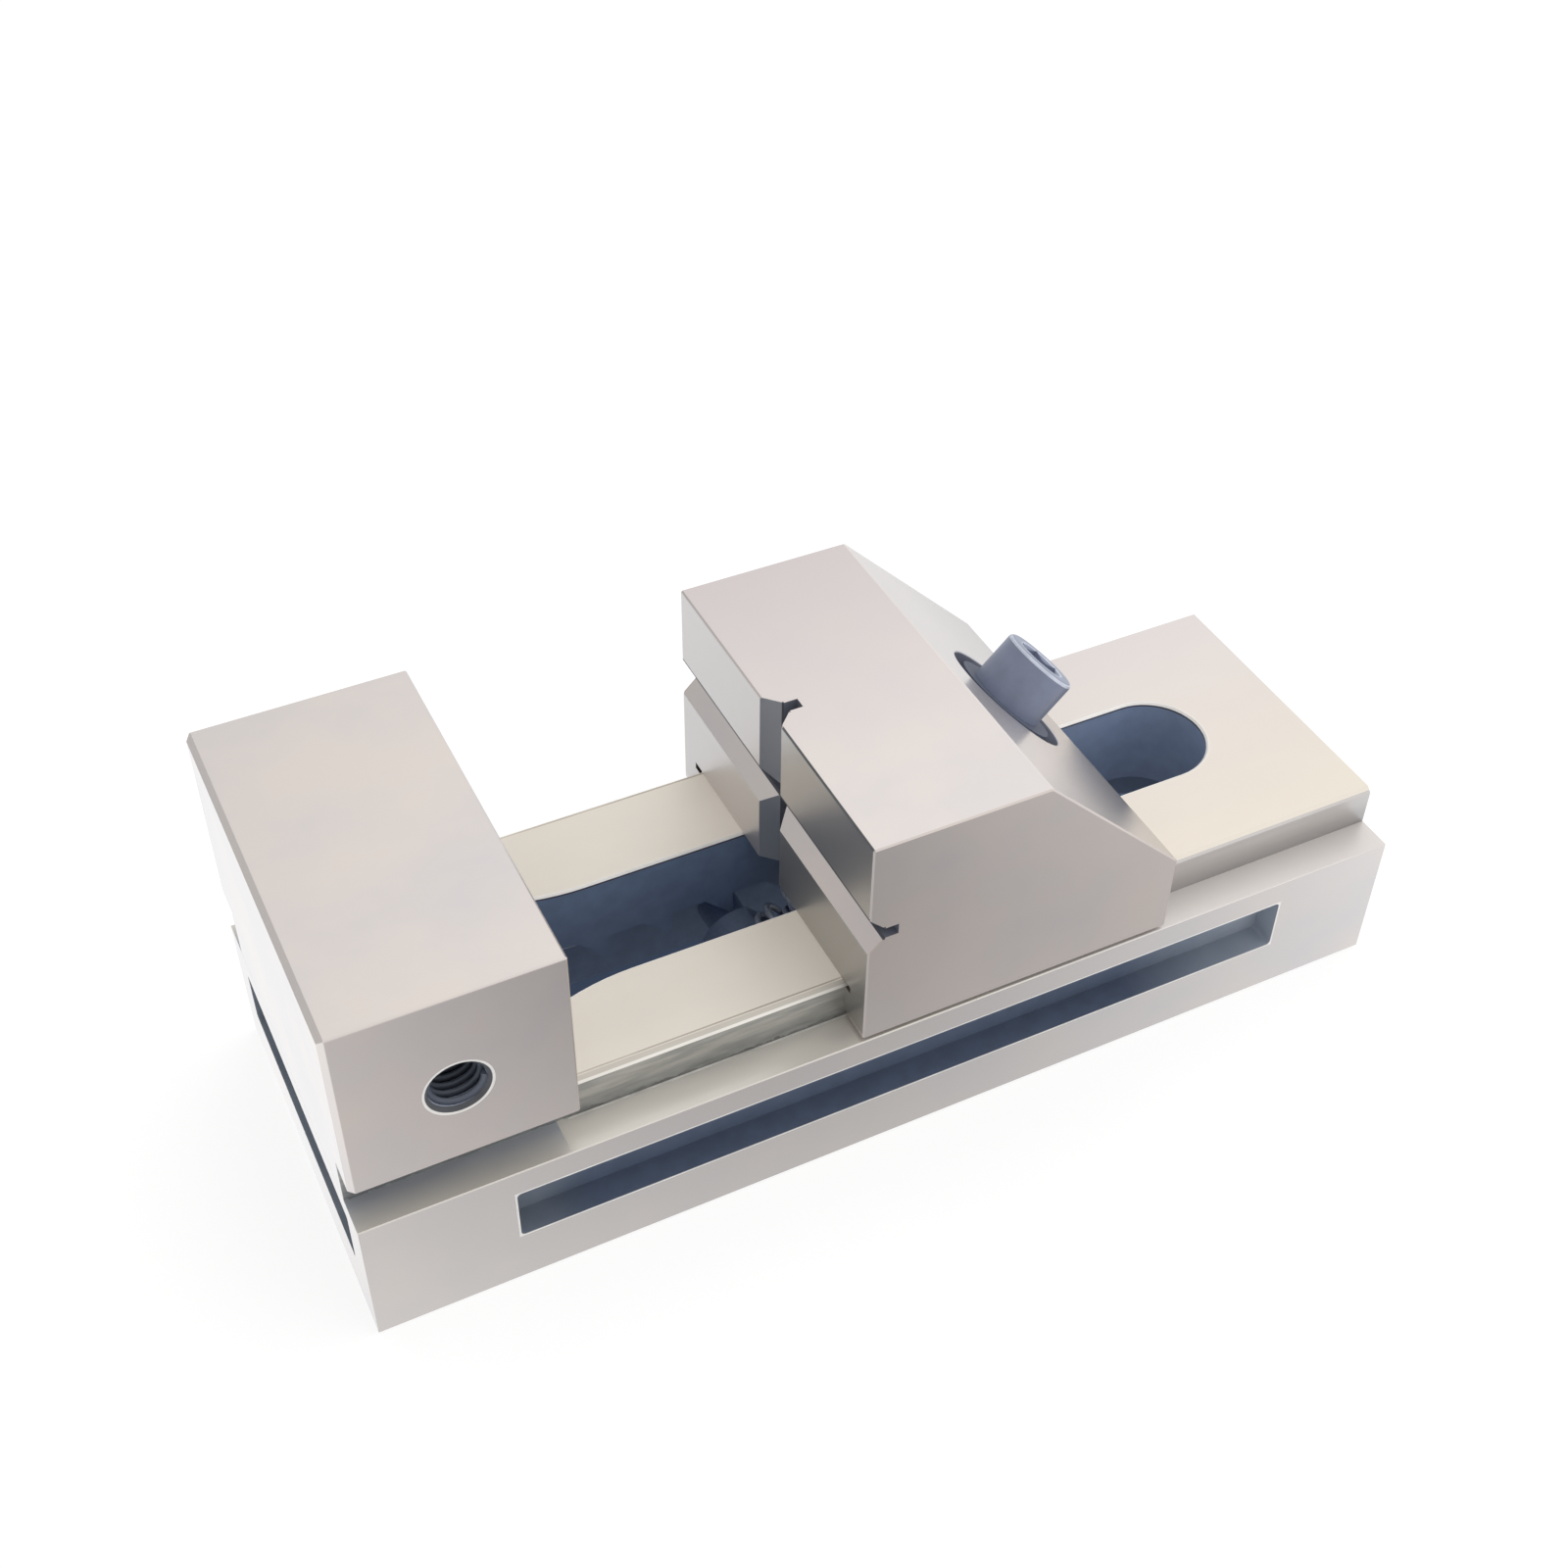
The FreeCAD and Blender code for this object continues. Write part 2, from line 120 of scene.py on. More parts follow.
def place_on_piece(tree):
    # The point's place on the piece, in metres, as one vector and three numbers.
    coordinates = tree.nodes.new("ShaderNodeTexCoord")
    split = tree.nodes.new("ShaderNodeSeparateXYZ")
    tree.links.new(coordinates.outputs["Object"], split.inputs[0])
    return coordinates.outputs["Object"], list(split.outputs)


def stretched_noise(tree, place, stretch, detail=2.0, roughness=0.55):
    # Noise with stretch cells to the metre along each axis.
    mapping = tree.nodes.new("ShaderNodeMapping")
    mapping.inputs["Scale"].default_value = stretch
    noise = tree.nodes.new("ShaderNodeTexNoise")
    noise.inputs["Scale"].default_value = 1.0
    noise.inputs["Detail"].default_value = detail
    noise.inputs["Roughness"].default_value = roughness
    tree.links.new(place, mapping.inputs["Vector"])
    tree.links.new(mapping.outputs[0], noise.inputs["Vector"])
    return noise.outputs["Fac"]


def spread(tree, value, low, high, low_to, high_to):
    # Maps value from low..high to low_to..high_to.
    node = tree.nodes.new("ShaderNodeMapRange")
    node.inputs["From Min"].default_value = low
    node.inputs["From Max"].default_value = high
    node.inputs["To Min"].default_value = low_to
    node.inputs["To Max"].default_value = high_to
    tree.links.new(value, node.inputs["Value"])
    return node.outputs["Result"]


def between(tree, value, low, high, soft=0.02 * MM):
    # 1 from low to high and 0 outside, with a soft step at each end.
    rise = spread(tree, value, low - soft, low + soft, 0.0, 1.0)
    fall = spread(tree, value, high - soft, high + soft, 1.0, 0.0)
    return math_node(tree, "MULTIPLY", rise, fall)


def inside_box(tree, axes, low, high):
    # 1 inside a box given in millimetres. None leaves an axis open.
    mask = None
    for axis in range(3):
        if low[axis] is None:
            continue
        part = between(tree, axes[axis], low[axis] * MM, high[axis] * MM)
        mask = part if mask is None else math_node(tree, "MULTIPLY", mask, part)
    return mask


def mixed_colour(tree, factor, first, second):
    mix = tree.nodes.new("ShaderNodeMix")
    mix.data_type = "RGBA"
    sockets = [s for s in mix.inputs if s.type == "RGBA"]
    tree.links.new(factor, mix.inputs["Factor"])
    for socket, value in zip(sockets, (first, second)):
        if isinstance(value, tuple):
            socket.default_value = (*value, 1.0)
        else:
            tree.links.new(value, socket)
    return [s for s in mix.outputs if s.type == "RGBA"][0]


def mixed_number(tree, factor, first, second):
    mix = tree.nodes.new("ShaderNodeMix")
    mix.data_type = "FLOAT"
    sockets = [s for s in mix.inputs if s.type == "VALUE" and s.name in ("A", "B")]
    tree.links.new(factor, mix.inputs["Factor"])
    for socket, value in zip(sockets, (first, second)):
        if isinstance(value, (int, float)):
            socket.default_value = value
        else:
            tree.links.new(value, socket)
    return [s for s in mix.outputs if s.type == "VALUE"][0]


def bump(tree, shader, height, strength, distance):
    node = tree.nodes.new("ShaderNodeBump")
    node.inputs["Strength"].default_value = strength
    node.inputs["Distance"].default_value = distance
    tree.links.new(height, node.inputs["Height"])
    tree.links.new(node.outputs[0], shader.inputs["Normal"])


def facing(tree, axis):
    # 1 where the surface faces along the axis, either way, and 0 where it doesn't.
    geometry = tree.nodes.new("ShaderNodeNewGeometry")
    split = tree.nodes.new("ShaderNodeSeparateXYZ")
    tree.links.new(geometry.outputs["True Normal"], split.inputs[0])
    size = math_node(tree, "ABSOLUTE", split.outputs[axis])
    return spread(tree, size, 0.65, 0.75, 0.0, 1.0)


# The ground steel's two tones, and a pattern with 300 grains to the metre.
steel_colour = (0.696, 0.638, 0.594)
steel_shade = (0.630, 0.598, 0.598)
even_cells = (300.0, 300.0, 300.0)


def both_sides(low, high):
    # The same box on both sides of the vise's middle plane.
    mirrored_low = (low[0], -high[1], low[2])
    mirrored_high = (high[0], -low[1], high[2])
    return [(low, high), (mirrored_low, mirrored_high)]


def in_boxes(boxes, ragged=0.0):
    # Marks what lies in any of the boxes, given in millimetres. Ragged is how far
    # their upper and lower edges wander.
    def mark(tree, place, axes):
        near = axes
        if ragged:
            wander = stretched_noise(tree, place, (700.0, 700.0, 700.0), detail=3.0)
            wander = spread(tree, wander, 0.3, 0.7, -ragged * MM, ragged * MM)
            near = [axes[0], axes[1], math_node(tree, "ADD", axes[2], wander)]
        mask = None
        for low, high in boxes:
            box = inside_box(tree, near, low, high)
            mask = box if mask is None else math_node(tree, "MAXIMUM", mask, box)
        return mask
    return mark


def faded(mark, axis, full, gone, mirrored=False):
    # The same region, fading from full to gone along an axis, in millimetres.
    def faded_mark(tree, place, axes):
        along = math_node(tree, "ABSOLUTE", axes[axis]) if mirrored else axes[axis]
        fade = spread(tree, along, full * MM, gone * MM, 1.0, 0.0)
        return math_node(tree, "MULTIPLY", mark(tree, place, axes), fade)
    return faded_mark


def patch(mark, light, dark, rough, metal, cells=even_cells):
    # A region of the steel with its own colours, gloss and metal share.
    return {"mark": mark, "light": light, "dark": dark, "rough": rough, "metal": metal,
            "cells": cells}


def patched(tree, place, axes, patches, bright, rough, metal):
    # Lays each region over what lies under it.
    for region in patches:
        mask = region["mark"](tree, place, axes)
        grain = stretched_noise(tree, place, region["cells"], detail=3.0)
        grain = spread(tree, grain, 0.35, 0.65, 0.0, 1.0)
        colour = mixed_colour(tree, grain, region["dark"], region["light"])
        bright = mixed_colour(tree, mask, bright, colour)
        rough = mixed_number(tree, mask, rough, region["rough"])
        metal = mixed_number(tree, mask, metal, region["metal"])
    return bright, rough, metal


def ground_steel(name, patches):
    material, shader = new_material(name)
    tree = material.node_tree
    place, axes = place_on_piece(tree)
    # The wheel's lines run along the vise, and across it on its ends and jaw faces.
    along = stretched_noise(tree, place, (24.0, 4200.0, 4200.0))
    across = stretched_noise(tree, place, (4200.0, 48.0, 4200.0))
    lines = mixed_number(tree, facing(tree, 0), along, across)
    cloud = stretched_noise(tree, place, (30.0, 38.0, 42.0), detail=4.0)
    cloud = spread(tree, cloud, 0.32, 0.68, 0.0, 1.0)
    bright = mixed_colour(tree, cloud, steel_colour, steel_shade)
    rough = spread(tree, lines, 0.3, 0.7, 0.22, 0.26)
    bright, rough, metal = patched(tree, place, axes, patches, bright, rough, 1.0)
    tree.links.new(bright, shader.inputs["Base Color"])
    tree.links.new(rough, shader.inputs["Roughness"])
    tree.links.new(metal, shader.inputs["Metallic"])
    bump(tree, shader, lines, 0.012, 0.00002)
    return material


# Where the slot's mouth and the stop holes lie on the body.
slot_half = 10.5 * MM
slot_end_centre = 70.5 * MM
flare_start = -42.0 * MM
flare_radius = 45.0 * MM
rim_inner = -0.05 * MM
rim_outer = 0.52 * MM
hole_back = 19.2 * MM
hole_height = 54.0 * MM
hole_place_x = cad_low.x + hole_back
hole_mouth = 5.40 * MM
hole_edge = 5.82 * MM


def jaw_end_part(mark):
    # The same region, fading out behind the middle of the bed.
    return faded(mark, 0, 6.0, 40.0)


def tail_part(mark):
    # The same region, fading in behind the middle of the bed.
    return faded(mark, 0, 48.0, 10.0)


def slot_rim_band(tree, place, axes):
    # Marks a thin band all round the slot's mouth, for a painted highlight on its rim.
    along = math_node(tree, "MAXIMUM", math_node(tree, "SUBTRACT", axes[0], slot_end_centre), 0.0)
    off = math_node(tree, "SQRT", math_node(
        tree, "ADD", math_node(tree, "MULTIPLY", along, along),
        math_node(tree, "MULTIPLY", axes[1], axes[1])))
    reach = math_node(tree, "MAXIMUM", math_node(tree, "SUBTRACT", flare_start, axes[0]), 0.0)
    drop = math_node(tree, "SUBTRACT", flare_radius**2, math_node(tree, "MULTIPLY", reach, reach))
    flare = math_node(tree, "SUBTRACT", flare_radius,
                      math_node(tree, "SQRT", math_node(tree, "MAXIMUM", drop, 0.0)))
    gap = math_node(tree, "SUBTRACT", math_node(tree, "SUBTRACT", off, slot_half), flare)
    band = between(tree, gap, rim_inner, rim_outer, 0.05 * MM)
    level = inside_box(tree, axes, (-62.0, None, 36.12), (82.0, None, 36.6))
    return math_node(tree, "MULTIPLY", band, level)


def hole_rims(tree, place, axes):
    # Marks the same band round the stop holes, for a painted highlight.
    along = math_node(tree, "SUBTRACT", axes[0], hole_place_x)
    above = math_node(tree, "SUBTRACT", axes[2], hole_height)
    off = math_node(tree, "SQRT", math_node(
        tree, "ADD", math_node(tree, "MULTIPLY", along, along),
        math_node(tree, "MULTIPLY", above, above)))
    side = math_node(tree, "ABSOLUTE", axes[1])
    return math_node(tree, "MULTIPLY", between(tree, off, hole_mouth, hole_edge, 0.05 * MM),
                     between(tree, side, 36.44 * MM, 36.6 * MM))


# A darker, warmer copy of the steel for the jaws' sides: painted shade.
side_steel_shaded = (0.622, 0.548, 0.505)
side_steel_shaded_grain = (0.578, 0.528, 0.508)
# Colours for painted highlights along edges.
edge_highlight_colour = (0.90, 0.875, 0.84)
edge_highlight_grain = (0.80, 0.775, 0.74)
long_cells = (26.0, 60.0, 60.0)

# Each region is a thin box or two about a surface, with corners a little outside it.
# The ground outside: the fixed jaw's and the base's sides, the bed and the shelf.
# Painted shade: the fixed jaw's sides take the darker copy of the steel.
jaw_flanks = patch(in_boxes(both_sides((-101.0, 36.4, 38.1), (-61.9, 36.6, 74.1))),
                   side_steel_shaded, side_steel_shaded_grain, 0.24, 1.0, (40.0, 40.0, 40.0))
# Painted shade: the base's sides are darker at the fixed jaw's end and fade back to the plain steel
# towards the tail.
base_flanks_shade = patch(faded(in_boxes(both_sides((-101.0, 36.4, 0.0), (101.0, 36.6, 28.3))),
                          0, -100.0, 80.0),
                    (0.622, 0.572, 0.540), (0.590, 0.552, 0.530), 0.24, 1.0, (40.0, 40.0, 40.0))
bed = in_boxes([((-61.9, -29.48, 35.6), (100.5, 29.48, 36.55))])
bed_top = patch(bed, (0.800, 0.748, 0.668), (0.770, 0.720, 0.642), 0.44, 0.25, long_cells)
# Painted reflection: the bed is lighter where it mirrors the movable jaw's face at rest, and this
# stays put when the jaw moves.
bed_jaw_reflection = patch(faded(faded(bed, 0, -12.0, -46.0), 0, 10.0, 40.0),
                   (0.920, 0.862, 0.770), (0.890, 0.832, 0.742), 0.42, 0.2, long_cells)
tail_near = patch(faded(bed, 0, 48.0, 20.0),
                  (0.800, 0.738, 0.650), (0.780, 0.718, 0.632), 0.38, 0.4, long_cells)
# Painted shade: the tail of the bed darkens towards its far edge.
tail_far_shade = patch(faded(faded(bed, 0, 48.0, 20.0), 1, 30.0, -24.0),
                 (0.700, 0.652, 0.640), (0.685, 0.640, 0.630), 0.34, 0.6, long_cells)
shelf = patch(in_boxes([((-101.0, -40.0, 28.0), (101.0, 40.0, 28.25))]),
              (0.735, 0.700, 0.640), (0.690, 0.655, 0.600), 0.27, 0.4, long_cells)
tail_shelf = patch(tail_part(in_boxes([((0.0, -40.0, 28.0), (101.0, 40.0, 28.25))])),
                   (0.740, 0.700, 0.675), (0.715, 0.680, 0.655), 0.36, 0.35, long_cells)
# Painted shadow: under the fixed jaw's overhang the shelf is dark blue-grey by the rail and
# lightens towards its outer edge.
shelf_overhang_shadow = patch(faded(in_boxes([((-101.0, -40.0, 28.0), (-64.0, 40.0, 28.25))]),
                          1, 30.8, 36.4, mirrored=True),
                    (0.48, 0.500, 0.535), (0.40, 0.420, 0.465), 0.36, 0.5, (40.0, 90.0, 90.0))

# The rails' upright sides, duller and painted darker towards their feet as shade on the fixed jaw's
# half of the bed, and their edges, with painted highlights and painted dark lines.
rail_walls = patch(in_boxes(both_sides((-101.0, 29.3, 28.2), (101.0, 29.55, 35.6))
                            + both_sides((-101.0, 29.3, 35.4), (-61.9, 29.55, 38.15))),
                   (0.53, 0.525, 0.500), (0.37, 0.375, 0.36), 0.36, 0.85, (110.0, 140.0, 1100.0))
wall_foot = in_boxes(both_sides((-101.0, 29.3, 28.2), (44.0, 29.55, 33.0)), ragged=0.6)
# Painted shade: the rail sides darken towards their feet, with a ragged upper edge, and are duller
# there.
wall_foot_shade = patch(jaw_end_part(faded(wall_foot, 2, 29.2, 32.6)),
                        (0.36, 0.37, 0.365), (0.22, 0.23, 0.23), 0.45, 0.75, (160.0, 160.0, 700.0))
tail_walls = patch(tail_part(in_boxes(both_sides((0.0, 28.7, 28.2), (101.0, 29.55, 35.9)))),
                   (0.575, 0.550, 0.535), (0.545, 0.520, 0.505), 0.34, 0.8, (60.0, 60.0, 500.0))
tail_foot = in_boxes(both_sides((0.0, 29.3, 28.2), (101.0, 29.55, 34.0)))
# Painted shade: the tail's rail sides darken towards their feet.
tail_walls_shade = patch(tail_part(faded(tail_foot, 2, 28.6, 33.8)),
                         (0.40, 0.390, 0.385), (0.36, 0.352, 0.350), 0.36, 0.8, (60.0, 60.0, 300.0))
# Painted shade and painted highlight along the bed's top edges: a darker band over the edge, a
# bright strip on its lower part, and a thin dark line on the bed top beside it.
bed_edges = patch(jaw_end_part(in_boxes(both_sides((-62.0, 28.45, 35.45), (44.0, 29.55, 36.46)))),
                  (0.60, 0.560, 0.500), (0.57, 0.530, 0.470), 0.48, 0.3, (60.0, 260.0, 260.0))
bed_edge_highlights = patch(jaw_end_part(in_boxes(both_sides((-62.0, 29.15, 35.45), (44.0, 29.55, 35.86)))),
                     (0.88, 0.85, 0.795), (0.80, 0.77, 0.715), 0.38, 0.45, (60.0, 260.0, 260.0))
bed_edge_shade_lines = patch(jaw_end_part(in_boxes(both_sides((-62.0, 28.05, 36.45), (44.0, 28.38, 36.55)))),
                      (0.68, 0.62, 0.54), (0.47, 0.42, 0.36), 0.5, 0.3, (55.0, 200.0, 200.0))
# Painted shade: a ragged dark line in the crease at the foot of the rail sides.
wall_foot_line = patch(faded(in_boxes(both_sides((-62.0, 28.9, 27.0), (44.0, 29.55, 28.75)), 0.45),
                             0, 0.0, 40.0),
                       (0.25, 0.25, 0.24), (0.16, 0.16, 0.155), 0.60, 0.5)
# Painted highlight: a thin light line along the shelf beside the rail sides' foot.
shelf_foot_line = patch(faded(in_boxes(both_sides((-62.0, 29.55, 28.0), (44.0, 29.95, 28.25))),
                              0, 0.0, 40.0),
                        (0.86, 0.84, 0.79), (0.60, 0.58, 0.54), 0.55, 0.3, (260.0, 260.0, 260.0))

# The slot's lip, painted darker as shade, and the painted highlight on its rim, and the dark scale
# inside the slot and pockets, painted lighter in places.
# Painted shade: the slot's lip is darker than the scale below it.
slot_lip = patch(in_boxes([((-61.9, -16.0, 35.7), (82.0, 16.0, 36.13))]),
                 (0.090, 0.100, 0.135), (0.070, 0.080, 0.110), 0.50, 0.2)
# Painted highlight: a bright line round the slot's rim.
slot_rim_highlight = patch(slot_rim_band, (0.97, 0.95, 0.92), (0.90, 0.88, 0.85), 0.45, 0.25)
slot_scale = patch(in_boxes([((-79.5, -10.6, -1.0), (45.0, 10.6, 35.72)),
                             ((-79.5, -10.6, -1.0), (-61.9, 10.6, 36.6)),
                             ((-62.1, -15.5, 22.2), (-41.5, 15.5, 35.72)),
                             ((-82.1, -21.05, -1.0), (86.1, 21.05, 22.1))]),
                   (0.175, 0.245, 0.385), (0.155, 0.215, 0.340), 0.50, 0.0)
# Painted light: the scale at the slot's tail end is painted lighter.
slot_end_scale_lightened = patch(in_boxes([((45.0, -10.6, -1.0), (81.6, 10.6, 35.72))]),
                       (0.265, 0.345, 0.510), (0.240, 0.312, 0.465), 0.50, 0.0)
# Painted light: the scale round the notches under the rails is painted about twice as light, to
# lift their shade.
notch_scale_lightened = patch(in_boxes(both_sides((-62.0, 10.75, 16.9), (62.0, 21.1, 22.3))),
                    (0.36, 0.48, 0.72), (0.33, 0.44, 0.66), 0.50, 0.0)
pockets = in_boxes(both_sides((-74.05, 31.4, 11.65), (76.85, 36.42, 22.75))
                   + [((-99.92, -28.85, 11.65), (-94.9, 28.85, 22.75)),
                      ((94.9, -28.85, 11.65), (99.92, 28.85, 22.75))])
pocket_scale = patch(pockets, (0.104, 0.136, 0.203), (0.091, 0.119, 0.177), 0.46, 0.0)
# Painted light: the pockets' scale lightens towards both ends.
pocket_head_lightened = patch(faded(pockets, 0, -74.0, -60.0), (0.22, 0.25, 0.29), (0.16, 0.19, 0.235),
                    0.46, 0.0, (90.0, 90.0, 90.0))
pocket_tail_lightened = patch(faded(pockets, 0, 80.0, 46.0), (0.40, 0.445, 0.510), (0.34, 0.385, 0.45),
                    0.46, 0.0, (90.0, 90.0, 90.0))
# Painted highlight: bright lines round the pockets' rims and the stop holes' mouths.
pocket_rims = patch(in_boxes(both_sides((-74.35, 36.44, 11.38), (77.15, 36.6, 23.02))),
                    edge_highlight_colour, edge_highlight_grain, 0.40, 0.6)
hole_rim = patch(hole_rims, edge_highlight_colour, edge_highlight_grain, 0.40, 0.6)
# Painted light: the stop holes' bores are painted far lighter than the other scale, to lift the
# shade inside them.
hole_scale_lightened = patch(in_boxes(both_sides((-86.3, 15.9, 48.5), (-75.3, 35.75, 59.5))),
                   (0.45, 0.50, 0.62), (0.38, 0.42, 0.53), 0.60, 0.0)
hole_mouths = patch(in_boxes(both_sides((-86.3, 35.75, 48.5), (-75.3, 36.42, 59.5))),
                    (0.078, 0.082, 0.092), (0.058, 0.062, 0.070), 0.55, 0.0)
body_steel = ground_steel("body_steel", [
    jaw_flanks, base_flanks_shade, bed_top, bed_jaw_reflection, tail_near, tail_far_shade, shelf, tail_shelf,
    shelf_overhang_shadow, rail_walls, wall_foot_shade, tail_walls, tail_walls_shade, bed_edges,
    bed_edge_highlights, bed_edge_shade_lines, wall_foot_line, shelf_foot_line, slot_lip, slot_rim_highlight,
    slot_scale, slot_end_scale_lightened, notch_scale_lightened, pocket_scale, pocket_head_lightened, pocket_tail_lightened,
    pocket_rims, hole_rim, hole_scale_lightened, hole_mouths])
body = frame["nodes"]["body"]
body.data.materials.clear()
body.data.materials.append(body_steel)


# Stop holes.
# A 3/8 inch thread is tapped in each side of the fixed jaw for a work stop. Its
# ridges stand inside the plain bore, and catch the light one turn after another.
def wound_ridge_tree():
    # One ridge or wire wound round Z, from Z = 0 up.
    tree = bpy.data.node_groups.new("wound_ridge", "GeometryNodeTree")
    face = tree.interface
    for label, kind, value in (
            ("Radius", "NodeSocketFloat", 0.005), ("Pitch", "NodeSocketFloat", 0.0016),
            ("Turns", "NodeSocketFloat", 10.0), ("Close Turns", "NodeSocketFloat", 0.0),
            ("Close Pitch", "NodeSocketFloat", 0.001), ("Steps per Turn", "NodeSocketInt", 48),
            ("Foot Width", "NodeSocketFloat", 0.0013), ("Crest Width", "NodeSocketFloat", 0.0002),
            ("Depth", "NodeSocketFloat", 0.0008), ("Wire Radius", "NodeSocketFloat", 0.0),
            ("Finish", "NodeSocketMaterial", None)):
        socket = face.new_socket(label, in_out="INPUT", socket_type=kind)
        if value is not None:
            socket.default_value = value
    face.new_socket("Geometry", in_out="OUTPUT", socket_type="NodeSocketGeometry")
    given = tree.nodes.new("NodeGroupInput").outputs
    # The turns at each end rise by the close pitch, and those between by the pitch.
    spiral = tree.nodes.new("GeometryNodeCurveSpiral")
    along = tree.nodes.new("GeometryNodeSplineParameter").outputs["Factor"]
    turn = math_node(tree, "MULTIPLY", along, given["Turns"])
    last = math_node(tree, "SUBTRACT", given["Turns"], given["Close Turns"])
    past = math_node(tree, "MAXIMUM", math_node(tree, "SUBTRACT", turn, last), 0.0)
    close = math_node(tree, "ADD", math_node(tree, "MINIMUM", turn, given["Close Turns"]), past)
    open_turns = math_node(tree, "SUBTRACT", turn, close)
    rise = math_node(tree, "ADD", math_node(tree, "MULTIPLY", close, given["Close Pitch"]),
                     math_node(tree, "MULTIPLY", open_turns, given["Pitch"]))
    tree.links.new(given["Steps per Turn"], spiral.inputs["Resolution"])
    tree.links.new(given["Turns"], spiral.inputs["Rotations"])
    tree.links.new(given["Radius"], spiral.inputs["Start Radius"])
    tree.links.new(given["Radius"], spiral.inputs["End Radius"])
    spiral.inputs["Height"].default_value = 0.0
    spiral.inputs["Reverse"].default_value = True
    position = tree.nodes.new("GeometryNodeInputPosition").outputs["Position"]
    flat = tree.nodes.new("ShaderNodeSeparateXYZ")
    tree.links.new(position, flat.inputs[0])
    raised = tree.nodes.new("ShaderNodeCombineXYZ")
    tree.links.new(flat.outputs["X"], raised.inputs["X"])
    tree.links.new(flat.outputs["Y"], raised.inputs["Y"])
    tree.links.new(rise, raised.inputs["Z"])
    wound = tree.nodes.new("GeometryNodeSetPosition")
    tree.links.new(spiral.outputs["Curve"], wound.inputs["Geometry"])
    tree.links.new(raised.outputs[0], wound.inputs["Position"])
    upright = tree.nodes.new("GeometryNodeSetCurveNormal")
    upright.mode = "Z_UP"
    tree.links.new(wound.outputs["Geometry"], upright.inputs["Curve"])
    ridge = tree.nodes.new("GeometryNodeCurvePrimitiveQuadrilateral")
    ridge.mode = "TRAPEZOID"
    ridge.inputs["Offset"].default_value = 0.0
    tree.links.new(given["Foot Width"], ridge.inputs["Bottom Width"])
    tree.links.new(given["Crest Width"], ridge.inputs["Top Width"])
    tree.links.new(given["Depth"], ridge.inputs["Height"])
    standing = tree.nodes.new("GeometryNodeTransform")
    standing.inputs["Rotation"].default_value = (0.0, 0.0, math.radians(90))
    tree.links.new(ridge.outputs["Curve"], standing.inputs["Geometry"])
    wire = tree.nodes.new("GeometryNodeCurvePrimitiveCircle")
    wire.inputs["Resolution"].default_value = 16
    tree.links.new(given["Wire Radius"], wire.inputs["Radius"])
    is_wire = tree.nodes.new("FunctionNodeCompare")
    is_wire.operation = "GREATER_THAN"
    tree.links.new(given["Wire Radius"], is_wire.inputs[0])
    profile = tree.nodes.new("GeometryNodeSwitch")
    profile.input_type = "GEOMETRY"
    tree.links.new(is_wire.outputs[0], profile.inputs["Switch"])
    tree.links.new(standing.outputs["Geometry"], profile.inputs["False"])
    tree.links.new(wire.outputs["Curve"], profile.inputs["True"])
    sweep = tree.nodes.new("GeometryNodeCurveToMesh")
    sweep.inputs["Fill Caps"].default_value = True
    tree.links.new(upright.outputs["Curve"], sweep.inputs["Curve"])
    tree.links.new(profile.outputs["Output"], sweep.inputs["Profile Curve"])
    real = tree.nodes.new("GeometryNodeRealizeInstances")
    painted = tree.nodes.new("GeometryNodeSetMaterial")
    tree.links.new(sweep.outputs["Mesh"], real.inputs["Geometry"])
    tree.links.new(real.outputs["Geometry"], painted.inputs["Geometry"])
    tree.links.new(given["Finish"], painted.inputs["Material"])
    result = tree.nodes.new("NodeGroupOutput")
    tree.links.new(painted.outputs["Geometry"], result.inputs["Geometry"])
    return tree


wound_ridge = wound_ridge_tree()


def wind(sizes, finish):
    # A plain mesh of the wound ridge with these sizes.
    holder = bpy.data.objects.new("winding", bpy.data.meshes.new("winding"))
    bpy.context.scene.collection.objects.link(holder)
    modifier = holder.modifiers.new("winding", "NODES")
    modifier.node_group = wound_ridge
    for item in wound_ridge.interface.items_tree:
        if item.in_out == "INPUT" and item.name in sizes:
            modifier[item.identifier] = sizes[item.name]
        if item.in_out == "INPUT" and item.name == "Finish":
            modifier[item.identifier] = finish
    evaluated = holder.evaluated_get(bpy.context.evaluated_depsgraph_get())
    mesh = bpy.data.meshes.new_from_object(evaluated)
    bpy.data.objects.remove(holder)
    return mesh


def outward(mesh):
    shape = bmesh.new()
    shape.from_mesh(mesh)
    bmesh.ops.remove_doubles(shape, verts=shape.verts, dist=1e-7)
    bmesh.ops.recalc_face_normals(shape, faces=shape.faces)
    shape.to_mesh(mesh)
    shape.free()
    return mesh


def piece(name, mesh, body_name):
    made = bpy.data.objects.new(name, mesh)
    bpy.context.scene.collection.objects.link(made)
    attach(made, body_name)
    return made


thread_pitch = 1.5875 * MM
thread_depth = 0.85 * MM
thread_foot = 0.86 * thread_pitch
hole_radius = 4.76 * MM
hole_depth = 20.0 * MM
hole_lead_in = 1.2 * MM


